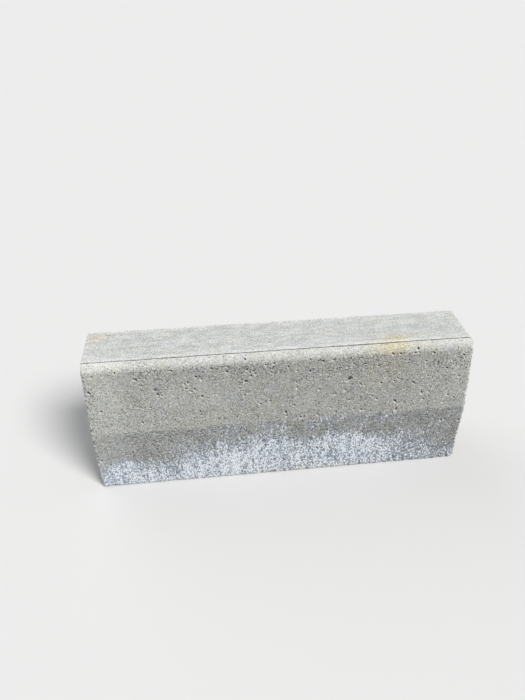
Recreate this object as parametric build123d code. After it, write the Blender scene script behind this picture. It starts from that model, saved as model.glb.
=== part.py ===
from build123d import *
import math
import os

# Straight road kerb stone of pressed concrete, standing on its base as it is laid.
# Sizes are in mm. X runs along the kerb, the road face looks towards -Y and Z is up.
# The origin is the middle of the base.

LENGTH = 780.0
HEIGHT = 300.0
BASE_WIDTH = 150.0

# The road face stands upright on its foot, then leans back to the top.
FOOT_HEIGHT = 150.0
BATTER_RUN = 25.0
BREAK_RADIUS = 25.0
NOSE_RADIUS = 20.0

# Every other outer edge is a plain arris, as it leaves the mould.
ARRIS_RADIUS = 2.5

# The press plate forms the flat top and the mould wall forms the nose.
# A fine groove is left along the line where the two meet.
SEAM_WIDTH = 2.0
SEAM_DEPTH = 1.5

FRONT = -BASE_WIDTH / 2
REAR = BASE_WIDTH / 2
NOSE_CORNER = (FRONT + BATTER_RUN, HEIGHT)
BREAK_CORNER = (FRONT, FOOT_HEIGHT)
BATTER_ANGLE = math.atan2(BATTER_RUN, HEIGHT - FOOT_HEIGHT)
NOSE_TURN = math.pi / 2 - BATTER_ANGLE
SEAM_Y = NOSE_CORNER[0] + NOSE_RADIUS * math.tan(NOSE_TURN / 2)


def round_corner(outline, corner, radius):
    """Round the vertex of a flat outline that lies at the given corner."""
    vertex = outline.vertices().sort_by_distance(corner)[0]
    return fillet(vertex, radius)


def section():
    """The stone's outline across its length: foot, battered road face, nose, flat top and back."""
    corners = [(FRONT, 0), BREAK_CORNER, NOSE_CORNER, (REAR, HEIGHT), (REAR, 0)]
    outline = make_face(Polyline(*corners, close=True))
    outline = round_corner(outline, BREAK_CORNER, BREAK_RADIUS)
    return round_corner(outline, NOSE_CORNER, NOSE_RADIUS)


def with_arrises(block):
    """Round the edges of the two ends, the base and the back, which are all the sharp ones."""
    sides = block.faces().filter_by(Axis.X)
    sides += block.faces().filter_by(Axis.Z).group_by(Axis.Z)[0]
    sides += block.faces().filter_by(Axis.Y).group_by(Axis.Y)[-1]
    sharp = {edge for side in sides for edge in side.edges()}
    return fillet(ShapeList(sharp), ARRIS_RADIUS)


def seam_groove():
    """The V-shaped groove along the seam, run out through both ends."""
    corners = [
        (SEAM_Y - SEAM_WIDTH / 2, HEIGHT),
        (SEAM_Y, HEIGHT - SEAM_DEPTH),
        (SEAM_Y + SEAM_WIDTH / 2, HEIGHT),
        (SEAM_Y + SEAM_WIDTH / 2, HEIGHT + SEAM_DEPTH),
        (SEAM_Y - SEAM_WIDTH / 2, HEIGHT + SEAM_DEPTH),
    ]
    groove = make_face(Polyline(*corners, close=True))
    return extrude(Plane.YZ * groove, amount=LENGTH, both=True)


def kerb_stone():
    """The whole stone, one cast piece."""
    block = extrude(Plane.YZ * section(), amount=LENGTH / 2, both=True)
    return with_arrises(block) - seam_groove()


os.makedirs("parts", exist_ok=True)
export_step(kerb_stone(), "parts/kerb_stone.step")
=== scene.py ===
import math
from collections import namedtuple

import bpy
import numpy as np
from mathutils import Matrix, Vector, geometry, noise


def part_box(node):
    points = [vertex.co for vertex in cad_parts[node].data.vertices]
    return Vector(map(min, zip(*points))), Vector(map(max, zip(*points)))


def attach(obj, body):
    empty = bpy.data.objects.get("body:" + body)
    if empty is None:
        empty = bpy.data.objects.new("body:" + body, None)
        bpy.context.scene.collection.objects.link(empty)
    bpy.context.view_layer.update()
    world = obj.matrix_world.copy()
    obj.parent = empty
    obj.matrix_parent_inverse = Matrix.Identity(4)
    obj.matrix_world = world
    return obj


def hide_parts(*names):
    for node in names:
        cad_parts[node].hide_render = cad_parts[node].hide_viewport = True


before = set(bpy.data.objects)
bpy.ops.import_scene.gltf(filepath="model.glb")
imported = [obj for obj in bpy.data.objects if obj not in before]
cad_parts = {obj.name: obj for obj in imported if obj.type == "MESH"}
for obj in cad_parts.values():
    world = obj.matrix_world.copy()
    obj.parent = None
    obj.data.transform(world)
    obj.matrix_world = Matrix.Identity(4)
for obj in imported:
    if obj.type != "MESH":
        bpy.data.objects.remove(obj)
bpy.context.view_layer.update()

# The concrete kerb stone: one watertight cast skin with its pits, ragged arrises and seam as real
# relief, in one procedural concrete. Lengths are in metres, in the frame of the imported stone.
# A place on the skin is u, along the stone and over its ends, and s, round its section.

MM = 0.001
SEED = 41

NODE = "kerb_stone"
LOW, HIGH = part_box(NODE)
LENGTH = HIGH.x - LOW.x
HEIGHT = HIGH.z
FRONT = LOW.y
REAR = HIGH.y

# The section, as the stone's mould gives it, and the roll of the skin on to the ends.
FOOT_HEIGHT = 150 * MM
BATTER_RUN = 25 * MM
BREAK_RADIUS = 25 * MM
NOSE_RADIUS = 20 * MM
ARRIS_RADIUS = 2.5 * MM
END_ROLL = 2.0 * MM

# The seam along the top, where the press plate met the mould: width, depth, how far it wanders, how
# full and how flat it is. Round one place it gapes: where, how far along, how much fuller and wider.
SEAM_WIDTH = 2.4 * MM
SEAM_DEPTH = 1.8 * MM
SEAM_WANDER = 0.45 * MM
SEAM_FULLNESS = 0.85
LEAST_SEAM = 0.25
SEAM_FLATNESS = 1.3
GAPE = (206 * MM, 42 * MM, 0.6, 0.4)

# Spacing of the skin's points, and how much it grows with the distance from a fine place.
ROAD_GAP = 3.2 * MM
BACK_GAP = 4.8 * MM
END_GAP = 4.0 * MM
ARRIS_GAP = 1.5 * MM
LEAST_GAP = 0.55 * ARRIS_GAP
CORNER_GAP = 0.5 * ARRIS_GAP
GAP_GROWTH = 0.38

# Rows lie closer on a round and in a triangular grid, by these shares.
ROUND_ROW = 0.8
HEX_ROW = 0.87

# The band of finer points next to an end, and the rows just inside the edge of an end face.
END_BAND = 6 * MM
BAND_ROW = 0.7 * ARRIS_GAP
BAND_ROW_GROWTH = 0.2
BAND_GROWTH = 0.25
INSETS = (1.4 * MM, 3.4 * MM)
INSET_GROWTH = 0.3
INSET_MARGIN = 0.95

# How finely spacings and the section are sampled, points matched at once, and slacks.
GRADING = 6000
OUTLINE = 900
AT_ONCE = 5000
SLACK = 1e-12
MERGED_MM = 1e-5


def graded(start, end, gap):
    """Places from start to end, both included, whose spacing follows gap(place)."""
    fine = np.linspace(start, end, GRADING)
    steps = (end - start) / (len(fine) - 1) / gap(fine)
    count = np.concatenate([[0.0], np.cumsum((steps[1:] + steps[:-1]) / 2)])
    whole = max(1, round(count[-1]))
    return np.interp(np.arange(whole + 1) * count[-1] / whole, count, fine)


def rising(value, low, high):
    """0 below low, 1 above high and a smooth rise between."""
    t = np.clip((value - low) / (high - low), 0, 1)
    return t * t * (3 - 2 * t)


def falling(value, low, high):
    """1 below low, 0 above high and a smooth fall between."""
    return 1 - rising(value, low, high)


def band(value, low, full, fades, gone):
    """0 below low and above gone, 1 from full to fades."""
    return rising(value, low, full) * falling(value, fades, gone)


def rough(points, scale, offset=0.0):
    """Smooth noise from about -1 to 1 at each point, with features about 1 / scale metres across."""
    shift = Vector((offset, 1.7 * offset, 2.3 * offset))
    return np.array([noise.noise(Vector(p) * scale + shift) for p in points])


def cloudy(points, scale, offset=0.0):
    """The same noise from about 0 to 1."""
    return 0.5 + 0.5 * rough(points, scale, offset)


def on_line(along):
    """Points on the x axis, at which noise changes only along the stone."""
    return np.column_stack([along, np.zeros(len(along)), np.zeros(len(along))])


class Section:
    """The stone's outline across its length, walked once round from the middle of the base."""

    def __init__(self, corners, radii):
        start = np.array([0.0, 0.0])
        points = [start, *[np.array(c) for c in corners], start]
        self.pieces = []
        self.arcs = []
        here, length = start, 0.0
        for before, corner, after, radius in zip(points, points[1:], points[2:], radii):
            d0 = (corner - before) / np.linalg.norm(corner - before)
            d1 = (after - corner) / np.linalg.norm(after - corner)
            turn = math.acos(np.clip(d0 @ d1, -1, 1))
            cut = radius * math.tan(turn / 2)
            length = self.add_line(here, corner - cut * d0, d0, length)
            outward = np.array([-d0[1], d0[0]])
            centre = corner - cut * d0 - outward * radius
            arc = (length, length + radius * turn)
            self.pieces.append((*arc, centre, outward, radius))
            self.arcs.append(arc)
            length += radius * turn
            here = corner + cut * d1
        self.length = self.add_line(here, start, d1, length)

    def add_line(self, here, end, direction, length):
        """Add a straight piece from a length round the outline, and give where it ends."""
        run = np.linalg.norm(end - here)
        self.pieces.append((length, length + run, here, direction, None))
        return length + run

    def at(self, s):
        """Points and outward normals at distances s round the outline."""
        s = np.asarray(s, float)
        points = np.zeros(s.shape + (2,))
        normals = np.zeros(s.shape + (2,))
        for first, last, origin, vector, radius in self.pieces:
            here = (s >= first - SLACK) & (s <= last + SLACK)
            t = s[here] - first
            if radius is None:
                points[here] = origin + t[:, None] * vector
                normals[here] = (-vector[1], vector[0])
            else:
                c, n = np.cos(t / radius), np.sin(t / radius)
                turned = np.stack([c * vector[0] + n * vector[1], c * vector[1] - n * vector[0]], -1)
                points[here] = origin + radius * turned
                normals[here] = turned
        return points, normals


NOSE_CORNER = (FRONT + BATTER_RUN, HEIGHT)
SECTION = Section(
    [(FRONT, 0.0), (FRONT, FOOT_HEIGHT), NOSE_CORNER, (REAR, HEIGHT), (REAR, 0.0)],
    [ARRIS_RADIUS, BREAK_RADIUS, NOSE_RADIUS, ARRIS_RADIUS, ARRIS_RADIUS],
)
GIRTH = SECTION.length
BASE_FRONT, BREAK, NOSE, TOP_REAR, BASE_REAR = SECTION.arcs
SEAM = NOSE[1]
SEAM_Y = SECTION.at([SEAM])[0][0, 0]
ARRISES = [(first + last) / 2 for first, last in (BASE_FRONT, TOP_REAR, BASE_REAR)]
STRAIGHT = LENGTH / 2 - END_ROLL
END_ARRIS = STRAIGHT + END_ROLL * math.pi / 4
REACH = STRAIGHT + END_ROLL * math.pi / 2


def skin_place(s, u):
    """Points and normals of the undamaged skin: s round the section, u along it and over the ends."""
    flat, across = SECTION.at(s)
    side = np.sign(u)
    roll = np.clip((np.abs(u) - STRAIGHT) / END_ROLL, 0, math.pi / 2)
    sunk = END_ROLL * (1 - np.cos(roll))
    along = side * (np.minimum(np.abs(u), STRAIGHT) + END_ROLL * np.sin(roll))
    points = np.column_stack([along, flat - across * sunk[:, None]])
    normals = np.column_stack([side * np.sin(roll), across * np.cos(roll)[:, None]])
    return points, normals


def arris_distance(s):
    """Distance round the section to the middle of the nearest long arris."""
    return np.min([np.abs(s - middle) for middle in ARRISES], axis=0)


def row_gap(s):
    """Spacing wanted at a place round the section, away from the ends."""
    road = (s > BASE_FRONT[0]) & (s < TOP_REAR[1])
    gap = np.where(road, ROAD_GAP, BACK_GAP)
    gap = np.minimum(gap, ROUND_ROW * ARRIS_GAP + GAP_GROWTH * arris_distance(s))
    gap = np.minimum(gap, SEAM_WIDTH / 4 + GAP_GROWTH * np.abs(s - SEAM))
    nose = np.maximum(np.maximum(NOSE[0] - s, s - NOSE[1]), 0)
    return np.minimum(gap, ROUND_ROW * ROAD_GAP + GAP_GROWTH * nose)


def barrel_rows():
    """Rows of chart points (u, s) along the stone, between the bands at its ends."""
    found = []
    rows = graded(0, GIRTH, lambda s: HEX_ROW * row_gap(s))
    inner = REACH - END_BAND
    gaps = np.maximum(row_gap(rows), LEAST_GAP)
    for k, (s, gap) in enumerate(zip(rows, gaps)):

        def spacing(u):
            return np.minimum(gap, ARRIS_GAP + GAP_GROWTH * (REACH - np.abs(u)))

        places = graded(-inner, inner, spacing)
        if k % 2 and k < len(rows) - 1:
            places = (places[1:] + places[:-1]) / 2
        found.append(np.column_stack([places, np.full(len(places), s)]))
    return found


def end_columns():
    """Columns of chart points (u, s) round the bands at both ends, from the end faces inwards."""
    found = []
    depths = graded(0, END_BAND, lambda d: HEX_ROW * (BAND_ROW + BAND_ROW_GROWTH * d))
    for k, depth in enumerate(depths[:-1]):
        wide = ARRIS_GAP + BAND_GROWTH * depth

        def spacing(s):
            return np.minimum(wide, CORNER_GAP + arris_distance(s))

        places = graded(0, GIRTH, spacing)
        if k % 2:
            places = np.concatenate([[0.0], (places[1:] + places[:-1]) / 2, [GIRTH]])
        for side in (-1, 1):
            found.append(np.column_stack([np.full(len(places), side * (REACH - depth)), places]))
    return found


# Pits seen on the road face, noted on enlarged crops of the photograph: x, distance up the face from
# the base, half length, half width (mm) and turn (degrees).
SEEN_PITS = (
    (-380, 248, 3.4, 2.4, 110), (-370, 281, 2.4, 1.8, 120), (-326, 287, 2.5, 1.9, 90),
    (-362, 204, 3.0, 1.8, 125), (-289, 270, 4.8, 2.3, 150), (-281, 271, 2.2, 1.7, 0),
    (-250, 285, 3.4, 1.6, 10), (-219, 283, 2.8, 1.9, 150), (-278, 255, 1.9, 1.5, 0),
    (-254, 244, 2.7, 1.9, 30), (-249, 233, 3.6, 2.1, 130), (-242, 231, 2.7, 1.6, 135),
    (-284, 207, 2.1, 1.6, 120), (-266, 205, 2.0, 1.7, 0), (-264, 165, 1.9, 1.6, 0),
    (-285, 172, 4.4, 1.8, 135), (-195, 252, 2.1, 1.8, 0), (-194, 242, 2.3, 1.8, 90),
    (-189, 255, 2.6, 1.9, 80), (-172, 266, 2.9, 1.9, 160), (-162, 261, 2.6, 1.7, 45),
    (-177, 239, 2.6, 2.0, 130), (-169, 187, 2.9, 1.7, 125), (-168, 180, 2.5, 1.9, 140),
    (-144, 306, 2.2, 1.8, 0), (-141, 282, 3.6, 1.8, 170), (-131, 224, 1.9, 1.5, 0),
    (-119, 179, 2.0, 1.6, 0), (-111, 273, 2.9, 2.2, 20), (-110, 284, 2.3, 1.7, 120),
    (-75, 297, 2.6, 1.9, 130), (-72, 275, 2.8, 2.2, 0), (-66, 268, 2.2, 1.9, 60),
    (-60, 271, 2.8, 1.8, 20), (-64, 260, 2.9, 2.2, 160), (-56, 264, 2.3, 1.6, 80),
    (-75, 249, 3.1, 2.6, 40), (-78, 217, 2.7, 1.7, 20), (-72, 223, 2.0, 1.6, 0),
    (-47, 194, 2.6, 1.8, 170), (-36, 200, 1.8, 1.5, 0), (-27, 199, 2.0, 1.7, 90),
    (-34, 282, 2.0, 1.7, 0), (-24, 265, 2.1, 1.7, 120), (-18, 284, 2.7, 1.8, 30),
    (-8, 268, 1.9, 1.6, 0), (5, 170, 3.1, 2.5, 100), (6, 162, 2.6, 1.8, 130),
    (21, 178, 2.0, 1.6, 0), (22, 185, 2.3, 1.7, 60), (28, 264, 2.0, 1.7, 0),
    (28, 238, 2.5, 1.6, 20), (28, 226, 2.3, 1.5, 10), (54, 287, 2.3, 1.7, 150),
    (35, 156, 3.2, 1.6, 125), (74, 217, 2.4, 1.6, 120), (80, 281, 3.2, 2.0, 140),
    (102, 283, 3.0, 2.0, 20), (102, 205, 2.1, 1.6, 120), (108, 204, 2.1, 1.6, 120),
    (110, 161, 2.5, 1.7, 125), (128, 212, 2.6, 1.7, 40), (132, 264, 2.5, 1.7, 10),
    (136, 238, 5.6, 3.0, 12), (129, 234, 2.3, 1.8, 30), (144, 270, 2.3, 1.8, 120),
    (136, 188, 2.3, 1.6, 90), (160, 222, 2.5, 1.8, 130), (167, 221, 2.0, 1.7, 0),
    (163, 162, 2.6, 2.0, 90), (169, 162, 2.1, 1.7, 90), (184, 193, 2.4, 1.8, 0),
    (194, 262, 2.3, 1.9, 0), (195, 185, 2.6, 1.8, 150), (202, 222, 2.5, 2.1, 0),
    (222, 287, 3.9, 2.2, 125), (238, 286, 3.3, 1.8, 170), (234, 177, 4.9, 2.2, 145),
    (238, 157, 3.7, 2.1, 60), (236, 230, 2.5, 1.6, 130), (228, 225, 2.2, 1.6, 140),
    (268, 286, 2.6, 2.0, 0), (274, 294, 2.7, 2.2, 100), (276, 286, 2.1, 1.7, 0),
    (307, 283, 3.1, 2.2, 140), (311, 288, 2.1, 1.7, 0), (292, 265, 2.3, 1.6, 170),
    (317, 256, 2.1, 1.6, 0), (338, 246, 3.0, 1.9, 145), (300, 231, 2.1, 1.8, 0),
    (319, 239, 2.1, 1.7, 0), (270, 218, 3.9, 1.9, 140), (290, 193, 3.7, 1.9, 115),
    (296, 176, 2.7, 1.8, 130), (305, 194, 2.0, 1.6, 0), (348, 182, 2.7, 1.8, 150),
    (361, 175, 2.1, 1.8, 0), (366, 225, 2.5, 1.9, 0), (371, 273, 2.3, 1.8, 120),
    (339, 165, 2.1, 1.7, 0), (350, 119, 3.0, 2.2, 20), (382, 113, 2.8, 2.1, 60),
    (306, 84, 2.2, 1.7, 0), (342, 117, 2.7, 2.0, 90), (313, 125, 2.7, 1.8, 150),
    (327, 134, 2.3, 1.7, 140), (338, 107, 2.0, 1.6, 0), (360, 105, 2.2, 1.7, 150),
    (367, 97, 1.9, 1.6, 0), (345, 81, 2.0, 1.6, 0), (335, 20, 2.1, 1.6, 150),
    (-380, 78, 2.9, 2.2, 30), (-364, 64, 2.3, 1.8, 0),
)

# A pit's depth as a share of its half width, how much its rim wobbles twice and thrice round it, and
# the rings of its points as shares of the rim.
PIT_DEPTH_SHARE = 1.25
PIT_DEPTH_SPREAD = (0.8, 1.5)
RIM_WOBBLES = (0.16, 0.13)
PIT_RINGS = (1.0, 0.88, 0.55)
PIT_STEP = 1.5 * MM
FEWEST_ON_RING = 5
PIT_MARGIN = 0.6 * MM
PIT_REACH = 1.35

# Larger pits have a painted highlight on their lower left lip, the side that faces the key light,
# between shares of the rim and where the cosine of the turn from that side is high.
LIPPED_SIZE = 1.8 * MM
LIP_RING = 1.45
HIGHLIGHT_SIDE = math.radians(235)
LIP_BAND = (0.8, 1.0, 1.5, 2.0)
LIP_TURN = (0.3, 0.8)

# Seeded pits: places tried, the least half length, its spread and the most (mm), and the half width
# as a share of it.
BARREL_TRIES = 2600
END_TRIES = 190
PIT_SIZES = (1.0, 0.4, 2.4)
PIT_ROUNDNESS = (0.6, 1.0)

# How likely a tried place is by where it lies round the section. The last row that fits counts.
PIT_CHANCE = 0.45
PIT_ZONES = (
    (BREAK[1], NOSE[0], 0.55),
    (NOSE[0] - 40 * MM, NOSE[0] + 4 * MM, 0.95),
    (NOSE[0] + 8 * MM, SEAM, 0.2),
    (SEAM, TOP_REAR[1], 0.05),
    (BASE_REAR[0], math.inf, 0.1),
    (-math.inf, BASE_FRONT[1], 0.1),
)
CROWD_SCALE = 22
CROWDED = (0.2, 0.8)
END_PIT_CHANCE = 0.5

# How far the seeded pits keep from arrises, the seam and the edges of an end face.
ARRIS_CLEAR = 5 * MM
SEAM_CLEAR = 4 * MM
END_CLEAR = 9 * MM
END_TOP_CLEAR = 14 * MM


class Pits:
    """Open pores of a flat chart: middles, half axes, turns, depths and the wobble of their rims."""

    def __init__(self, rng, middles, long, wide, turn):
        self.middles = middles
        self.long = long
        self.wide = wide
        self.turn = turn
        self.depth = wide * PIT_DEPTH_SHARE * rng.uniform(*PIT_DEPTH_SPREAD, len(wide))
        self.phases = rng.uniform(0, 2 * math.pi, (len(wide), 2))

    def rim(self, k, angle):
        """The rim's radius at an angle, as a share of the ellipse."""
        a, b = self.phases[k]
        twice, thrice = RIM_WOBBLES
        return 1 + twice * np.sin(2 * angle + a) + thrice * np.sin(3 * angle + b)

    def share(self, k, points):
        """Each point's distance from pit k's middle as a share of its rim there."""
        c, s = math.cos(self.turn[k]), math.sin(self.turn[k])
        away = points - self.middles[k]
        p = (c * away[:, 0] + s * away[:, 1]) / self.long[k]
        q = (c * away[:, 1] - s * away[:, 0]) / self.wide[k]
        return np.hypot(p, q) / self.rim(k, np.arctan2(q, p))

    def near(self, k, points, margin=0.0):
        """Which points may lie in pit k or in a margin round it."""
        away = np.abs(points - self.middles[k])
        return np.flatnonzero((away < PIT_REACH * self.long[k] + margin).all(axis=1))

    def sunk(self, points):
        """How deep the pits reach at each point."""
        depth = np.zeros(len(points))
        for k in range(len(self.long)):
            here = self.near(k, points)
            share = np.minimum(self.share(k, points[here]), 1)
            depth[here] = np.maximum(depth[here], self.depth[k] * np.sqrt(1 - share**2))
        return depth

    def rings(self, k):
        """The shares of pit k's rim at which its rings of points lie."""
        return (LIP_RING, *PIT_RINGS) if self.long[k] > LIPPED_SIZE else PIT_RINGS

    def painted_lip_highlight(self, points):
        """How much each point lies on the painted highlight of a larger pit's lit lip."""
        pale = np.zeros(len(points))
        for k in np.flatnonzero(self.long > LIPPED_SIZE):
            here = self.near(k, points, self.long[k])
            away = points[here] - self.middles[k]
            share = self.share(k, points[here])
            turned = np.cos(np.arctan2(away[:, 1], away[:, 0]) - HIGHLIGHT_SIDE)
            lip = band(share, *LIP_BAND) * rising(turned, *LIP_TURN)
            pale[here] = np.maximum(pale[here], lip)
        return pale

    def clear(self, points):
        """The points that lie outside every pit and its rim."""
        keep = np.ones(len(points), bool)
        for k in range(len(self.long)):
            here = self.near(k, points, self.long[k])
            keep[here] &= self.share(k, points[here]) > self.rings(k)[0] + PIT_MARGIN / self.wide[k]
        return points[keep]

    def points(self):
        """Rings of points for each pit, from its rim or lip to its middle."""
        found = [self.middles]
        for k in range(len(self.long)):
            c, s = math.cos(self.turn[k]), math.sin(self.turn[k])
            for ring in self.rings(k):
                around = math.pi * (self.long[k] + self.wide[k]) * ring
                count = max(FEWEST_ON_RING, round(around / PIT_STEP))
                angle = np.arange(count) * 2 * math.pi / count + ring
                p = self.long[k] * ring * self.rim(k, angle) * np.cos(angle)
                q = self.wide[k] * ring * self.rim(k, angle) * np.sin(angle)
                found.append(self.middles[k] + np.column_stack([c * p - s * q, s * p + c * q]))
        return np.vstack(found)


def seeded_sizes(rng, count, least, spread, most):
    """Sizes given in mm, as metres: most lie near the least, and few near the most."""
    return (least + rng.exponential(spread, count)).clip(0, most) * MM


def scattered(rng, tries, low, high, chance, taken=()):
    """Seeded pits over a flat chart from low to high. chance(points) is how likely each place is."""
    middles = rng.uniform(low, high, (tries, 2))
    long = seeded_sizes(rng, tries, *PIT_SIZES)
    wide = long * rng.uniform(*PIT_ROUNDNESS, tries)
    turn = rng.uniform(0, math.pi, tries)
    lucky = rng.uniform(0, 1, tries) < chance(middles)
    kept = list(taken)
    found = []
    for k in np.flatnonzero(lucky):
        if all(np.hypot(*(middles[k] - m)) > PIT_REACH * (long[k] + size) for m, size in kept):
            kept.append((middles[k], long[k]))
            found.append(k)
    return middles[found], long[found], wide[found], turn[found]


def barrel_chance(points):
    """Pits crowd under the nose, thin out on the nose and foot and are few on the pressed top."""
    u, s = points.T
    chance = np.full(len(u), PIT_CHANCE)
    for start, end, likely in PIT_ZONES:
        chance[(s > start) & (s < end)] = likely
    crowd = cloudy(np.column_stack([points, np.zeros(len(u))]), CROWD_SCALE, 5.0)
    closed = (arris_distance(s) < ARRIS_CLEAR) | (np.abs(s - SEAM) < SEAM_CLEAR)
    closed |= (s < ARRIS_CLEAR) | (s > GIRTH - ARRIS_CLEAR)
    closed |= np.abs(u) > REACH - END_BAND
    return np.where(closed, 0, chance * rising(crowd, *CROWDED))


def barrel_pits(rng):
    """The pits seen on the road face, and seeded ones all round."""
    seen = np.array(SEEN_PITS, float)
    middles, long, wide = seen[:, :2] * MM, seen[:, 2] * MM, seen[:, 3] * MM
    middles[:, 1] += ARRISES[0]
    low, high = (-REACH, 0.0), (REACH, GIRTH)
    more = scattered(rng, BARREL_TRIES, low, high, barrel_chance, zip(middles, long))
    known = (middles, long, wide, np.radians(seen[:, 4]))
    return Pits(rng, *[np.concatenate(pair) for pair in zip(known, more)])


def end_chance(points):
    """Pits of an end face, (y, z), keep clear of its edges."""
    y, z = points.T
    lean = FRONT + BATTER_RUN * np.clip((z - FOOT_HEIGHT) / (HEIGHT - FOOT_HEIGHT), 0, 1)
    inside = (y > lean + END_CLEAR) & (y < REAR - END_CLEAR)
    inside &= (z > END_CLEAR) & (z < HEIGHT - END_TOP_CLEAR)
    return END_PIT_CHANCE * inside


def triangles(flat, ring=0):
    """Delaunay triangles over flat points: all, or those inside the ring of points that comes first."""
    outline = [list(range(ring))] if ring else []
    inside_only = 1 if ring else 0
    points = [Vector(p) / MM for p in flat]
    made = geometry.delaunay_2d_cdt(points, [], outline, inside_only, MERGED_MM)
    first = np.array([origins[0] for origins in made[3]])
    return first[np.array(made[2])]


def ring_distance(points, ring):
    """How far flat points lie inside a closed convex ring that is walked clockwise."""
    step = np.roll(ring, -1, axis=0) - ring
    step /= np.linalg.norm(step, axis=1)[:, None]
    away = points[:, None] - ring[None]
    return (step[:, 1] * away[..., 0] - step[:, 0] * away[..., 1]).min(axis=1)


def end_grid(ring):
    """Chart points (y, z) of an end face, inside the ring that its roll leaves."""
    found = []
    for inset in INSETS:
        s = np.arange(0, GIRTH, ARRIS_GAP + INSET_GROWTH * inset)
        flat, across = SECTION.at(s)
        row = flat - across * (END_ROLL + inset)
        found.append(row[ring_distance(row, ring) > INSET_MARGIN * inset])
    y, z = np.meshgrid(np.arange(FRONT, REAR, END_GAP), np.arange(0, HEIGHT, HEX_ROW * END_GAP))
    y = y + np.where(np.arange(len(y)) % 2, END_GAP / 2, 0)[:, None]
    grid = np.column_stack([y.ravel(), z.ravel()])
    found.append(grid[ring_distance(grid, ring) > INSETS[-1] + END_GAP / 2])
    return np.vstack(found)


# What is known of each point of the undamaged skin: place, outward normal, distance to the nearest
# arris, depth of the pits, share of the painted highlight on a pit's lip and depth of the seam.
Skin = namedtuple("Skin", "points normals edge holes lip groove")


def barrel(rng):
    """The skin round the stone and over its end rolls, with its chart points (u, s)."""
    pits = barrel_pits(rng)
    flat = np.vstack([pits.clear(np.vstack(barrel_rows() + end_columns())), pits.points()])
    u, s = flat.T
    edge = np.minimum(arris_distance(s), np.abs(np.abs(u) - END_ARRIS))
    skin = Skin(*skin_place(s, u), edge, pits.sunk(flat), pits.painted_lip_highlight(flat), seam_groove(s, u))
    return skin, flat


def closed_round(faces, u, s):
    """The barrel's triangles, with its last row on the middle of the base joined to its first."""
    first = {u[k]: k for k in np.flatnonzero(s == 0)}
    same = np.arange(len(s))
    for k in np.flatnonzero(s == GIRTH):
        same[k] = first[u[k]]
    return same[faces]


def end_face(rng, side, ring):
    """The skin of an end inside the ring that its roll leaves, and triangles over ring and inside."""
    pits = Pits(rng, *scattered(rng, END_TRIES, (FRONT, 0.0), (REAR, HEIGHT), end_chance))
    inner = np.vstack([pits.clear(end_grid(ring)), pits.points()])
    points = np.column_stack([np.full(len(inner), side * LENGTH / 2), inner])
    normals = np.tile([float(side), 0.0, 0.0], (len(inner), 1))
    edge = ring_distance(inner, ring) + REACH - END_ARRIS
    none = np.zeros(len(inner))
    faces = triangles(np.vstack([ring, inner]), ring=len(ring))
    return Skin(points, normals, edge, pits.sunk(inner), none, none), faces[:, ::side]


def whole_skin(rng):
    """Every point of the undamaged skin, with what is known of it, and the triangles."""
    skin, flat = barrel(rng)
    u, s = flat.T
    parts = [skin]
    faces = [closed_round(triangles(flat), u, s)]
    count = len(flat)
    for side in (-1, 1):
        round_end = np.flatnonzero((u == side * REACH) & (s < GIRTH))
        round_end = round_end[np.argsort(s[round_end])]
        part, made = end_face(rng, side, skin.points[round_end, 1:])
        place = np.concatenate([round_end, count + np.arange(len(part.points))])
        parts.append(part)
        faces.append(place[made])
        count += len(part.points)
    used, faces = np.unique(np.vstack(faces), return_inverse=True)
    return Skin(*[np.concatenate(column)[used] for column in zip(*parts)]), faces.reshape(-1, 3)


def seam_groove(s, u):
    """The seam's depth at each chart point."""
    places = on_line(u)
    middle, reach, fuller, wider = GAPE
    gape = np.exp(-(((u - middle) / reach) ** 2))
    fullness = SEAM_FULLNESS + 0.5 * rough(places, 30, 4.0) + 0.9 * rough(places, 95, 6.0)
    fullness = np.clip(fullness + fuller * gape, LEAST_SEAM, 1)
    wander = SEAM_WANDER * rough(places, 60, 2.0)
    share = np.abs(s - SEAM - wander) / (SEAM_WIDTH / 2 * (1 + wider * gape))
    return SEAM_DEPTH * fullness * np.clip(SEAM_FLATNESS * (1 - share), 0, 1)


# Larger chips at the corners: place, radius and depth, in mm.
CHIPS = (
    ((390, -75, 0), 12, 7),
    ((-390, -75, 1), 7, 3.5),
    ((-390, 75, 300), 7, 3.5),
    ((385, 75, 300), 8, 2.6),
    ((-390, 75, 0), 9, 4.0),
    ((390, 75, 2), 7, 3.2),
)

# Scoops broken out of the arrises: how many round each end and along each long arris, and the least,
# the spread and the most of their radii and depths (mm).
END_SCOOPS = 82
LONG_SCOOPS = (76, 40, 70)
SCOOP_RADII = (3.2, 1.3, 7.5)
SCOOP_DEPTHS = (1.6, 1.5, 4.8)

# On the top they are shallow, and round an end only this share of them is kept there.
TOP_SCOOP_SHARE = 0.4
TOP_BAND = 5 * MM
TOP_KEPT = 0.12
TOP_START = NOSE[0] + 10 * MM


def arris_bites(rng):
    """Scoops where grains have broken out of the arrises: middle, outward direction, radius, depth."""
    found = []
    for place, radius, depth in CHIPS:
        outward = np.sign(np.array(place) - (0, 0, HEIGHT / 2 / MM))
        found.append((np.array(place) * MM, outward / math.sqrt(3), radius * MM, depth * MM))
    for side in (-1, 1):
        s = jittered(rng, 0, GIRTH, END_SCOOPS)
        on_top = (s > TOP_START) & (s < TOP_REAR[1])
        s = s[~(on_top & (rng.uniform(0, 1, len(s)) > TOP_KEPT))]
        found += scoops(rng, s, np.full(len(s), side * END_ARRIS))
    for s, count in zip(ARRISES, LONG_SCOOPS):
        u = jittered(rng, -STRAIGHT, STRAIGHT, count)
        found += scoops(rng, np.full(count, s), u)
    return found


def jittered(rng, low, high, count):
    """Places spread from low to high, one in each of count equal steps."""
    return low + (high - low) * (np.arange(count) + rng.uniform(0.1, 0.9, count)) / count


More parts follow.
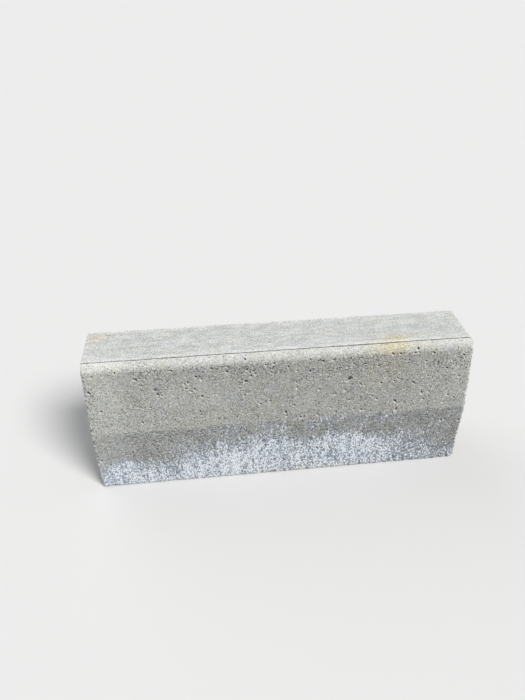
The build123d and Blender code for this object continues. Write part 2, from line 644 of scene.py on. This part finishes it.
def scoops(rng, s, u):
    """Small scoops at places on the arrises, shallow on the top."""
    places, outward = skin_place(s, u)
    radii = seeded_sizes(rng, len(s), *SCOOP_RADII)
    depths = seeded_sizes(rng, len(s), *SCOOP_DEPTHS)
    depths[places[:, 2] > HEIGHT - TOP_BAND] *= TOP_SCOOP_SHARE
    return list(zip(places, outward, radii, np.minimum(depths, radii)))


def scooped(points, bites):
    """How far each point is pushed in by the bites, as vectors."""
    moved = np.zeros(len(points))
    push = np.zeros(points.shape)
    for place, outward, radius, depth in bites:
        centre = place + outward * (radius - depth)
        here = np.flatnonzero((np.abs(points - centre) < radius).all(axis=1))
        away = points[here] - centre
        rise = away @ outward
        inside = radius**2 - (away**2).sum(axis=1)
        here, rise, inside = here[inside > 0], rise[inside > 0], inside[inside > 0]
        run = rise + np.sqrt(inside + rise**2)
        deeper = run > moved[here]
        moved[here[deeper]] = run[deeper]
        push[here[deeper]] = -run[deeper, None] * outward
    return push


# Depths of the skin's broad waves, its grains and the wear along its arrises, and the share of the
# last two that the press plate closed.
WAVES = 0.25 * MM
GRAINS = 0.34 * MM
WEAR = 0.9 * MM
WEAR_REACH = (1.5 * MM, 4.5 * MM)
PRESSED_FLAT = 0.85


def pressed_share(points):
    """1 on the flat top that the press plate formed, 0 on the faces that the mould formed."""
    over = rising(points[:, 1], SEAM_Y - 1.0 * MM, SEAM_Y + 0.5 * MM)
    return over * rising(points[:, 2], HEIGHT - 4 * MM, HEIGHT - 0.5 * MM)


def unevenness(points, edge, pressed):
    """Depth of the skin's broad waves, its grains and its worn arrises."""
    open_skin = 1 - PRESSED_FLAT * pressed
    broad = WAVES * cloudy(points, 11)
    grains = GRAINS * open_skin * cloudy(points, 165, 3.1)
    ragged = rising(rough(points, 210, 7.3) + 0.4 * rough(points, 95, 9.9), -0.3, 0.7)
    worn = WEAR * open_skin * ragged * falling(edge, *WEAR_REACH)
    return broad + grains + worn


# The lime bloom on the foot: x, height where it is half gone, depth of its fringe (mm), strength.
BLOOM = (
    (-390, 52, 70, 0.72), (-378, 60, 56, 0.84), (-362, 72, 40, 0.93), (-330, 72, 36, 0.95),
    (-285, 64, 70, 1.0), (-240, 58, 90, 1.0), (-205, 78, 100, 1.03), (-160, 98, 96, 1.05),
    (-110, 108, 80, 1.03), (-60, 110, 74, 1.03), (-15, 116, 66, 0.92), (12, 109, 57, 0.88),
    (50, 95, 40, 0.88), (98, 114, 42, 0.95), (130, 104, 34, 0.95), (200, 96, 36, 0.96),
    (235, 88, 40, 0.85), (262, 96, 80, 0.74), (320, 86, 100, 0.68), (350, 61, 90, 0.70),
    (375, 38, 50, 0.75), (390, 26, 34, 0.78),
)

# How far the bloom's edge drifts, slowly and quickly. Flecks of bloom lie beyond it: their strength,
# where they begin and thin out along the stone, by how much, and the bare patch at the upper left.
SLOW_DRIFT = 0.010
QUICK_DRIFT = 0.007
FLECKS = 0.46
FLECKS_BEGIN = (-0.27, -0.19)
FLECKS_THIN = (0.22, 0.30)
FLECKS_LOST = 0.35
BARE_ABOVE = (0.105, 0.130)
BARE_UNTIL = (-0.16, -0.10)

# The soft edges of the foot's face, in from the front and up, and of the road face over the bed.
FOOT_FACE = (FRONT + 2 * MM, FRONT + 12 * MM)
FOOT_TOP = (FOOT_HEIGHT - 3 * MM, FOOT_HEIGHT + 5 * MM)
BED_WRAP = 1 * MM
SPOT_REAR = REAR - 2 * MM

# Rust stains: x, distance up the face, half length along x and up the face (mm), strength.
RUST = (
    (228, 304, 38, 22, 0.9), (232, 328, 30, 13, 0.8), (196, 310, 26, 12, 0.4),
    (288, 304, 26, 10, 0.3), (187, 262, 18, 34, 0.36), (224, 266, 24, 40, 0.34),
    (-368, 396, 20, 18, 0.42), (60, 6, 130, 8, 0.32),
)

# Broad paler and darker patches: x, distance up the face, half length, half height (mm), lightness.
PATCHES = (
    (200, 302, 55, 12, 0.07), (115, 300, 45, 14, 0.04),
    (200, 266, 45, 24, 0.06), (110, 272, 45, 14, 0.04),
    (315, 302, 28, 12, -0.09), (312, 272, 26, 14, -0.04),
    (315, 130, 30, 22, -0.04), (368, 262, 24, 26, 0.14),
    (368, 205, 28, 40, 0.05), (-362, 100, 36, 30, 0.07),
    (-362, 210, 30, 40, 0.04), (-252, 195, 45, 55, 0.04),
    (-250, 100, 60, 34, 0.04), (112, 322, 50, 8, 0.03),
    (315, 365, 34, 24, -0.07), (15, 365, 50, 30, 0.025),
    (388, 262, 10, 32, 0.10), (388, 180, 8, 80, 0.06),
)

# Where the two ends of the road face differ, along the stone (m).
LEFT_END = (-0.345, -0.300)
RIGHT_END = (0.255, 0.345)

# How coarse the skin is, and how much more so in patches. A band under the nose and the foot are
# coarser and the nose is finer, by an amount and its change at the left end.
ROAD_COARSE = (0.75, 0.3)
PLAIN_COARSE = (0.35, 0.25)
COARSE_BAND = (0.225, 0.262, 0.282, 0.290)
BAND_COARSER = 0.4
FINE_NOSE = (HEIGHT - 14 * MM, HEIGHT - 7 * MM)
NOSE_FINER = (0.22, 0.2)
FOOT_COARSER = (0.3, -0.4)

# How much lighter than its colour each face is.
BATTER_LIGHT = 0.06
FOOT_LIGHT = 0.02
TOP_LIGHT = 0.03

# Lighter and darker zones of the faces: how much, and between which places a zone grows to that. They
# are heights (m) on the nose, mm behind the seam on the top, and else places along the stone (m).
# The nose's zones are a painted highlight where the round nose turns up to the light.
NOSE_HIGHLIGHT_ZONES = (
    (0.26, HEIGHT - 18 * MM, HEIGHT - 8 * MM),
    (0.18, HEIGHT - 7 * MM, HEIGHT - 0.5 * MM),
)
BATTER_ZONES = ((0.14, -0.300, -0.345), (0.06, 0.255, 0.345), (0.06, -0.06, -0.16))
FOOT_ZONES = ((0.11, -0.300, -0.345), (0.03, -0.06, -0.16), (-0.05, 0.22, 0.27), (-0.05, 0.0, 0.06))
TOP_ZONES = ((0.17, 14, 5), (0.07, 92, 104))
TOP_WAVY_ZONES = ((0.07, 30, 10), (0.03, 60, 90))
TOP_ENDS = (0.045, 0.06)
TOP_RIGHT_REAR = (50, 80)

# The darker band under the nose, and where it ends on the right.
BAND_DARKER = 0.06
DARK_BAND = (0.240, 0.266, 0.280, 0.288)
DARK_END = (0.335, 0.355)

# Arrises are paler, partly from wear and partly as a painted edge highlight, all along and more so
# in beads, and less at the top.
WEAR_AND_EDGE_HIGHLIGHT = (0.08, 0.70)
WORN_REACH = (2.5 * MM, 6.5 * MM)
WORN_LESS = 0.6
WORN_LESS_FROM = (HEIGHT - 14 * MM, HEIGHT - 4 * MM)


def off_ends(points):
    """1 on the long faces, 0 on the ends."""
    return falling(np.abs(points[:, 0]), STRAIGHT, LENGTH / 2)


def road_side(points):
    """1 on the road face and its nose, 0 on the ends, the base and the back."""
    side = falling(points[:, 1], 0, REAR) * rising(points[:, 2], 0, BED_WRAP)
    return side * off_ends(points)


def on_foot(points):
    """1 on the foot of the road face, 0 above the break and on the other sides."""
    return falling(points[:, 1], *FOOT_FACE) * falling(points[:, 2], *FOOT_TOP)


def bloom_share(points):
    """How much lime bloom lies on the foot at each point, from 0 to 1."""
    along, up = points[:, 0], points[:, 2]
    x, height, fringe, strength = np.array(BLOOM, float).T
    edge = np.interp(along, x * MM, height * MM)
    fade = np.interp(along, x * MM, fringe * MM)
    most = np.interp(along, x * MM, strength)
    drift = SLOW_DRIFT * rough(points, 22, 12.0) + QUICK_DRIFT * rough(points, 60, 14.0)
    inside = np.clip((edge + drift - up) / fade + 0.5, 0, 1)
    flecks = FLECKS * rising(along, *FLECKS_BEGIN)
    flecks *= 1 - FLECKS_LOST * rising(along, *FLECKS_THIN)
    flecks *= 1 - rising(up, *BARE_ABOVE) * falling(along, *BARE_UNTIL)
    flecks *= rising(rough(points, 26, 16.0), -0.5, 0.3)
    return np.maximum(most * inside, flecks) * on_foot(points)


def spots(points, up, table):
    """The soft spots of a table on the road face and top, a column of shares for each row."""
    x, s, long, high, strength = np.array(table, float).T
    away = ((points[:, :1] / MM - x) / long) ** 2 + ((up[:, None] / MM - s) / high) ** 2
    seen = off_ends(points) * ((points[:, 1] < SPOT_REAR) & (points[:, 2] > BED_WRAP))
    return strength * np.exp(-away) * seen[:, None]


def unrolled(points):
    """Distance of points up the road face and over the top, from the base."""
    s = np.linspace(BASE_FRONT[0], TOP_REAR[1], OUTLINE)
    outline = SECTION.at(s)[0]
    place = np.empty(len(points))
    for start in range(0, len(points), AT_ONCE):
        part = slice(start, start + AT_ONCE)
        away = points[part, None, 1:] - outline[None]
        place[part] = s[(away**2).sum(axis=2).argmin(axis=1)] - ARRISES[0]
    return place


def coarseness(points):
    """How coarse the open skin is: most under the nose, least on it."""
    x, _, z = points.T
    left = falling(x, *LEFT_END)
    patches = rising(rough(points, 30, 30.0), -0.5, 0.5)
    under_nose = BAND_COARSER * band(z, *COARSE_BAND) * (1 - left)
    base, patchy = ROAD_COARSE
    road = base + patches * (patchy + under_nose)
    amount, change = NOSE_FINER
    road -= (amount + change * left) * rising(z, *FINE_NOSE)
    amount, change = FOOT_COARSER
    road += (amount + change * left) * on_foot(points)
    base, patchy = PLAIN_COARSE
    plain = base + patchy * patches
    return plain + (road - plain) * road_side(points)


def zones(places, table):
    """What the zones of a table add up to at each place."""
    return sum(amount * rising(places, start, end) for amount, start, end in table)


def road_light(points):
    """Light and dark of the road face from foot to nose, with a painted highlight on the nose."""
    x, _, z = points.T
    foot = on_foot(points)
    dark = BAND_DARKER * band(z, *DARK_BAND) * band(x, *LEFT_END, *DARK_END)
    batter = BATTER_LIGHT - dark + zones(x, BATTER_ZONES)
    lower = FOOT_LIGHT + zones(x, FOOT_ZONES)
    # The nose's zones add a painted highlight.
    return zones(z, NOSE_HIGHLIGHT_ZONES) + batter * (1 - foot) + lower * foot


def top_light(points):
    """Light and dark of the top: a pale lip behind the seam, a pale rear and two paler ends."""
    x = points[:, 0]
    behind = (points[:, 1] - SEAM_Y) / MM
    wavy = zones(behind, TOP_WAVY_ZONES) * cloudy(on_line(x), 14, 20.0)
    left = TOP_ENDS[0] * falling(x, *LEFT_END)
    right = TOP_ENDS[1] * rising(x, *RIGHT_END) * rising(behind, *TOP_RIGHT_REAR)
    return TOP_LIGHT + zones(behind, TOP_ZONES) + wavy + left + right


def wear_and_edge_highlight(points, edge):
    """How much paler the arrises are, from wear and a painted edge highlight."""
    beads = rising(rough(points, 150, 24.0), -0.15, 0.35)
    plain, beaded = WEAR_AND_EDGE_HIGHLIGHT
    worn = (plain + beaded * beads) * falling(edge, *WORN_REACH)
    return worn * (1 - WORN_LESS * rising(points[:, 2], *WORN_LESS_FROM))


def lightness(points, up, edge, pressed):
    """Broad light and dark of the skin, with painted highlights on nose and arrises, as a factor on its
    colour.
    """
    road = (1 - pressed) * road_side(points) * road_light(points)
    shade = pressed * top_light(points) + road
    return 1 + wear_and_edge_highlight(points, edge) + shade + spots(points, up, PATCHES).sum(axis=1)


# Edges sharper than this stay sharp. The painted shade in pits and the seam is darkest from these
# depths on.
SHARP_ANGLE = math.radians(50)
PIT_SHADE_DEPTH = 1.8 * MM
PIT_SHADE_POWER = 1.5
SEAM_SHADE_DEPTH = 0.45 * MM


def shown(name, data):
    """A new object in the scene."""
    made = bpy.data.objects.new(name, data)
    bpy.context.scene.collection.objects.link(made)
    return made


def cast_skin():
    """The stone as one mesh, with its finish's and its painted light's fields as attributes."""
    rng = np.random.default_rng(SEED)
    skin, faces = whole_skin(rng)
    points = skin.points
    push = scooped(points, arris_bites(rng))
    pressed = pressed_share(points)
    up = unrolled(points)
    depth = unevenness(points, skin.edge, pressed) + np.maximum(skin.holes, skin.groove)
    final = points - skin.normals * depth[:, None] + push
    mesh = bpy.data.meshes.new("kerb_stone_skin")
    mesh.from_pydata(final.tolist(), [], faces.tolist())
    mesh.shade_smooth()
    mesh.set_sharp_from_angle(angle=SHARP_ANGLE)
    fields = {
        "pressed": pressed,
        "coarse": coarseness(points),
        "lightness": lightness(points, up, skin.edge, pressed),
        "bloom": bloom_share(points),
        "foot": on_foot(points),
        "rust": spots(points, up, RUST).max(axis=1),
        # hollow carries the painted shade, with a little dirt, in the pits.
        "hollow": np.clip(skin.holes / PIT_SHADE_DEPTH, 0, 1) ** PIT_SHADE_POWER,
        # A painted highlight on the lit lips of larger pits.
        "lip": skin.lip,
        # groove carries the painted shade, with some dirt, in the seam.
        "groove": np.clip(skin.groove / SEAM_SHADE_DEPTH, 0, 1),
    }
    for name, values in fields.items():
        layer = mesh.attributes.new(name, "FLOAT", "POINT")
        layer.data.foreach_set("value", values.astype(np.float32))
    return shown("kerb_stone_skin", mesh)


class Shader:
    """A material or world whose nodes are made and linked in one call each."""

    def __init__(self, owner):
        owner.use_nodes = True
        self.tree = owner.node_tree
        self.tree.nodes.clear()

    def node(self, kind, inputs=None, **settings):
        """A new node with its settings and inputs."""
        made = self.tree.nodes.new(kind)
        for name, value in settings.items():
            setattr(made, name, value)
        for socket, value in (inputs or {}).items():
            self.give(made.inputs[socket], value)
        return made

    def give(self, socket, value):
        """Link a socket to another, or set its value."""
        if isinstance(value, bpy.types.NodeSocket):
            self.tree.links.new(value, socket)
        else:
            socket.default_value = value

    def field(self, name):
        return self.node("ShaderNodeAttribute", attribute_name=name).outputs["Fac"]

    def stretched(self, place, scale):
        inputs = {0: place, 1: scale}
        return self.node("ShaderNodeVectorMath", inputs, operation="MULTIPLY").outputs[0]

    def noise(self, place, scale, detail=1.0, roughness=0.5):
        """Noise from 0 to 1 of one scale, or of one for each axis."""
        if isinstance(scale, tuple):
            place, scale = self.stretched(place, scale), 1
        inputs = {"Vector": place, "Scale": scale, "Detail": detail, "Roughness": roughness}
        return self.node("ShaderNodeTexNoise", inputs).outputs[0]

    def cells(self, place, scale):
        """Distance to the nearest of scattered points, and a random number for each."""
        made = self.node("ShaderNodeTexVoronoi", {"Vector": place, "Scale": scale})
        luck = self.node("ShaderNodeSeparateColor", {0: made.outputs["Color"]})
        return made.outputs["Distance"], luck.outputs[0]

    def ramp(self, value, low, high, out_low=0.0, out_high=1.0, smooth=True):
        """A value from low to high, spread from out_low to out_high."""
        inputs = {"Value": value, 1: low, 2: high, 3: out_low, 4: out_high}
        kind = "SMOOTHSTEP" if smooth else "LINEAR"
        return self.node("ShaderNodeMapRange", inputs, interpolation_type=kind).outputs[0]

    def math(self, operation, *values):
        inputs = dict(enumerate(values))
        return self.node("ShaderNodeMath", inputs, operation=operation).outputs[0]

    def sum(self, *values):
        total = values[0]
        for value in values[1:]:
            total = self.math("ADD", total, value)
        return total

    def times(self, *values):
        total = values[0]
        for value in values[1:]:
            total = self.math("MULTIPLY", total, value)
        return total

    def mix(self, share, first, second, blend="MIX"):
        """The first colour, and by its share the second or its blend."""
        inputs = {0: share, 6: first, 7: second}
        return self.node("ShaderNodeMix", inputs, data_type="RGBA", blend_type=blend).outputs[2]

    def scaled(self, colour, factor):
        inputs = {0: colour, "Scale": factor}
        return self.node("ShaderNodeVectorMath", inputs, operation="SCALE").outputs[0]


def tone(red, green, blue):
    """A colour given from 0 to 255, as linear light."""
    values = [v / 255 for v in (red, green, blue)]
    return [v / 12.92 if v <= 0.04045 else ((v + 0.055) / 1.055) ** 2.4 for v in values] + [1.0]


# Noises of the concrete: scale, detail, roughness, the part that is spread from -1 to 1, and whether
# it eases in and out.
NOISES = {
    "clouds": (13, 2, 0.5, 0.3, 0.7, True),
    "blotches": (55, 2, 0.5, 0.3, 0.7, True),
    "grain": (330, 3, 0.7, 0.36, 0.64, False),
    "fine": (900, 1, 0.5, 0.3, 0.7, False),
    "strokes": ((45, 150, 45), 2, 0.5, 0.3, 0.7, True),
    "streaks": ((8, 190, 8), 2, 0.5, 0.3, 0.7, True),
}

# Pores and sand grains: cells a metre, how far from its middle a grain ends and is full, and the luck
# at which a cell has none and has one. Sparkles are the luckiest sand.
PORES = (230, (0.42, 0.2), (0.30, 0.25))
SAND = (300, (0.55, 0.25), (0.76, 0.82))
SPARKLES = (0.93, 0.95)

# How much each texture lightens the skin or raises it, in mm of relief.
MOULDED_BROAD = {"clouds": 0.03, "blotches": 0.04}
MOULDED_SPECKLE = {"grain": 0.46, "fine": 0.14, "sand": 0.36, "sparkles": 0.55, "pores": -0.5}
PRESSED_SPECKLE = {
    "clouds": 0.025, "blotches": 0.035, "strokes": 0.11, "streaks": 0.02,
    "grain": 0.34, "fine": 0.10, "pores": -0.30,
}
MOULDED_RELIEF = {"grain": 0.40, "fine": 0.10, "sand": 0.25, "pores": -0.7}
PRESSED_RELIEF = {"grain": 0.14, "strokes": 0.04}

# Colours of the two skins, cool and warm, of the lime, of the palest that bare and bloomed concrete
# get, and of the marks: rust, a painted highlight on pit lips, and painted shade with some dirt in
# pits and the seam. The tints multiply what they lie on.
MOULDED_TONES = (tone(159, 161, 157), tone(161, 161, 153.5))
PRESSED_TONES = (tone(179, 181, 178), tone(181, 182, 176))
LIME_TONES = (tone(222, 231, 246), tone(250, 254, 255))
PALEST_TONES = (tone(214, 214, 209), tone(255, 255, 255))
# A painted highlight on the lit lips of pits.
LIP_HIGHLIGHT_TONE = tone(240, 240, 230)
# Painted shade, with a little dirt, in the pits.
PIT_SHADE_TONE = tone(50, 48, 45)
# Painted shade, with some dirt, in the seam.
SEAM_SHADE_TONE = tone(46, 44, 41)
FILM_TINT = (0.71, 0.82, 1.03, 1)
RUST_TINT = (1.06, 0.92, 0.62, 1)

# The bloom's crystals: noises by scale, detail, roughness and share, and cells by stretch, scale and
# share.
CRYSTALS = ((520, 520, 225), 2, 0.75, 0.78), (115, 1, 0.5, 0.10), ((80, 80, 14), 1, 0.5, 0.28)
CRYSTAL_CELLS = ((1, 1, 0.5), 500, 0.36)


def textures(make, place):
    """The concrete's textures by name: the noises, and the pores, sand and sparkles."""
    found = {}
    for name, (*kind, low, high, smooth) in NOISES.items():
        found[name] = make.ramp(make.noise(place, *kind), low, high, -1, 1, smooth)
    for name, (scale, size, chance) in {"pores": PORES, "sand": SAND}.items():
        distance, luck = make.cells(place, scale)
        found[name] = make.times(make.ramp(distance, *size), make.ramp(luck, *chance))
    found["sparkles"] = make.times(found["sand"], make.ramp(luck, *SPARKLES))
    return found


def blend(make, found, table, *first):
    """What comes first and each texture of a table by its share, added up."""
    return make.sum(*first, *[make.times(found[name], share) for name, share in table.items()])


def bare_concrete(make, place, found):
    """The colour of the stone without bloom, rust and dark hollows."""
    speckle = make.times(blend(make, found, MOULDED_SPECKLE), make.field("coarse"))
    moulded_shade = make.sum(blend(make, found, MOULDED_BROAD, 1.0), speckle)
    pressed_shade = blend(make, found, PRESSED_SPECKLE, 1.0)
    warm = make.ramp(make.noise(place, 30, 2), 0.35, 0.7)
    moulded = make.scaled(make.mix(warm, *MOULDED_TONES), moulded_shade)
    plate = make.scaled(make.mix(warm, *PRESSED_TONES), pressed_shade)
    both = make.mix(make.field("pressed"), moulded, plate)
    return make.scaled(both, make.field("lightness"))


def with_bloom(make, place, found, colour):
    """The colour under a film of lime and the bloom's crust, and where the crust lies."""
    terms = [make.times(make.noise(place, *kind), share) for *kind, share in CRYSTALS]
    stretch, scale, share = CRYSTAL_CELLS
    luck = make.cells(make.stretched(place, stretch), scale)[1]
    terms.insert(1, make.times(luck, share))
    bloom = make.field("bloom")
    film = make.sum(
        make.times(make.field("foot"), 0.12),
        make.times(make.ramp(bloom, 0.3, 1.0, smooth=False), 0.88),
    )
    colour = make.mix(film, colour, FILM_TINT, "MULTIPLY")
    fine = make.times(found["fine"], 0.03)
    crust = make.sum(make.sum(*terms), make.times(bloom, 0.34), fine)
    bloomed = make.times(make.ramp(crust, 1.0, 1.08), make.ramp(bloom, 0.0, 0.1))
    lime = make.mix(make.ramp(crust, 1.02, 1.24), *LIME_TONES)
    return make.mix(bloomed, colour, lime), bloomed


def with_marks(make, place, colour, bloomed):
    """The colour with rust, painted pit-lip highlights, and painted shade with some dirt in pits and
    seam.
    """
    broken = make.ramp(make.noise(place, 70, 3), 0.2, 0.56)
    rust = make.times(make.field("rust"), broken)
    colour = make.mix(rust, colour, RUST_TINT, "MULTIPLY")
    # A painted highlight on the lit lips of larger pits.
    colour = make.mix(make.times(make.field("lip"), 0.7), colour, LIP_HIGHLIGHT_TONE)
    palest = make.mix(bloomed, *PALEST_TONES)
    colour = make.mix(1.0, colour, palest, "DARKEN")
    # Painted shade, with some dirt, darkens the pits and the seam.
    for field, dark in (("hollow", PIT_SHADE_TONE), ("groove", SEAM_SHADE_TONE)):
        colour = make.mix(make.times(make.field(field), 0.9), colour, dark)
    return colour


def relief(make, found):
    """Bump of the grains and pores: strong on the open skin, faint on the pressed top."""
    pressed = make.field("pressed")
    opened = make.math("SUBTRACT", 1.0, pressed)
    open_height = make.times(blend(make, found, MOULDED_RELIEF), make.field("coarse"))
    pressed_height = blend(make, found, PRESSED_RELIEF)
    height = make.sum(make.times(opened, open_height), make.times(pressed, pressed_height))
    bump = make.node("ShaderNodeBump", {"Strength": 1.0, "Distance": MM, "Height": height})
    return bump.outputs[0]


def concrete():
    """Pressed concrete: sandy and open on the moulded faces, closed and paler on the pressed top."""
    material = bpy.data.materials.new("pressed_concrete")
    make = Shader(material)
    place = make.node("ShaderNodeTexCoord").outputs["Object"]
    found = textures(make, place)
    colour = bare_concrete(make, place, found)
    colour, bloomed = with_bloom(make, place, found, colour)
    surface = make.node(
        "ShaderNodeBsdfPrincipled",
        {
            "Base Color": with_marks(make, place, colour, bloomed),
            "Roughness": make.ramp(found["blotches"], -1, 1, 0.86, 0.96),
            "Specular IOR Level": 0.3,
            "Normal": relief(make, found),
        },
    )
    make.node("ShaderNodeOutputMaterial", {0: surface.outputs[0]})
    return material


# The studio: a pale floor, a soft key from the upper right of the road face and a low light behind.
# Lamps: name, direction that it shines from, strength, spread in degrees and colour.
FLOOR_SIDE = 120.0
FLOOR_SEEN = (0.637, 0.637, 0.62, 1)
FLOOR_BOUNCE = (0.31, 0.31, 0.30, 1)
SKY_SEEN = (0.848, 0.848, 0.844, 1)
SKY_LIGHT = (0.33, 0.336, 0.352, 1)
LAMPS = (
    ("key_light", (1.0, -1.25, 1.9), 3.52, 24, (1.0, 0.985, 1.0)),
    ("back_light", (-0.7, 0.8, 0.7), 0.88, 60, (0.95, 0.975, 1.0)),
)


def seen_directly(make):
    """1 for rays that show a surface to the eye, straight, mirrored or through glass."""
    rays = make.node("ShaderNodeLightPath").outputs
    seen = make.math("MAXIMUM", rays["Is Camera Ray"], rays["Is Glossy Ray"])
    return make.math("MAXIMUM", seen, rays["Is Transmission Ray"])


def add_floor():
    """The floor that the stone stands on, which shows paler than the light it throws back."""
    half = FLOOR_SIDE / 2
    mesh = bpy.data.meshes.new("floor")
    corners = [(-half, -half, 0), (half, -half, 0), (half, half, 0), (-half, half, 0)]
    mesh.from_pydata(corners, [], [(0, 1, 2, 3)])
    floor = shown("floor", mesh)
    material = bpy.data.materials.new("floor")
    make = Shader(material)
    colour = make.mix(seen_directly(make), FLOOR_BOUNCE, FLOOR_SEEN)
    surface = make.node("ShaderNodeBsdfDiffuse", {"Color": colour})
    make.node("ShaderNodeOutputMaterial", {0: surface.outputs[0]})
    mesh.materials.append(material)


def add_lights():
    """The sky and the lamps."""
    world = bpy.data.worlds.new("studio")
    bpy.context.scene.world = world
    make = Shader(world)
    sky = make.mix(seen_directly(make), SKY_LIGHT, SKY_SEEN)
    light = make.node("ShaderNodeBackground", {"Color": sky})
    make.node("ShaderNodeOutputWorld", {0: light.outputs[0]})
    for name, towards, strength, spread, colour in LAMPS:
        lamp = bpy.data.lights.new(name, "SUN")
        lamp.energy = strength
        lamp.angle = math.radians(spread)
        lamp.color = colour
        holder = shown(name, lamp)
        holder.rotation_euler = Vector(towards).to_track_quat("Z", "Y").to_euler()


# The camera, fitted to the stone's corners and edges in the photograph: place (m), turns (degrees)
# and focal length in pixels of a picture this high.
CAMERA_PLACE = (-0.1414, -0.9454, 0.9437)
CAMERA_PITCH = 34.92
CAMERA_YAW = 6.409
CAMERA_ROLL = 0.216
FOCAL_PIXELS = 569.7
PICTURE_HEIGHT = 700
SENSOR = 36.0


def add_camera():
    """The photograph's camera."""
    lens = bpy.data.cameras.new("camera")
    lens.sensor_width = SENSOR
    lens.lens = SENSOR * FOCAL_PIXELS / PICTURE_HEIGHT
    camera = shown("camera", lens)
    turn = Matrix.Rotation(math.radians(-CAMERA_YAW), 4, "Z")
    turn @= Matrix.Rotation(math.radians(90 - CAMERA_PITCH), 4, "X")
    turn @= Matrix.Rotation(math.radians(-CAMERA_ROLL), 4, "Z")
    camera.matrix_world = Matrix.Translation(CAMERA_PLACE) @ turn
    bpy.context.scene.camera = camera


stone = cast_skin()
stone.data.materials.append(concrete())
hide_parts(NODE)
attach(stone, "root")
add_floor()
add_lights()
add_camera()
bpy.context.scene.view_settings.view_transform = "Standard"
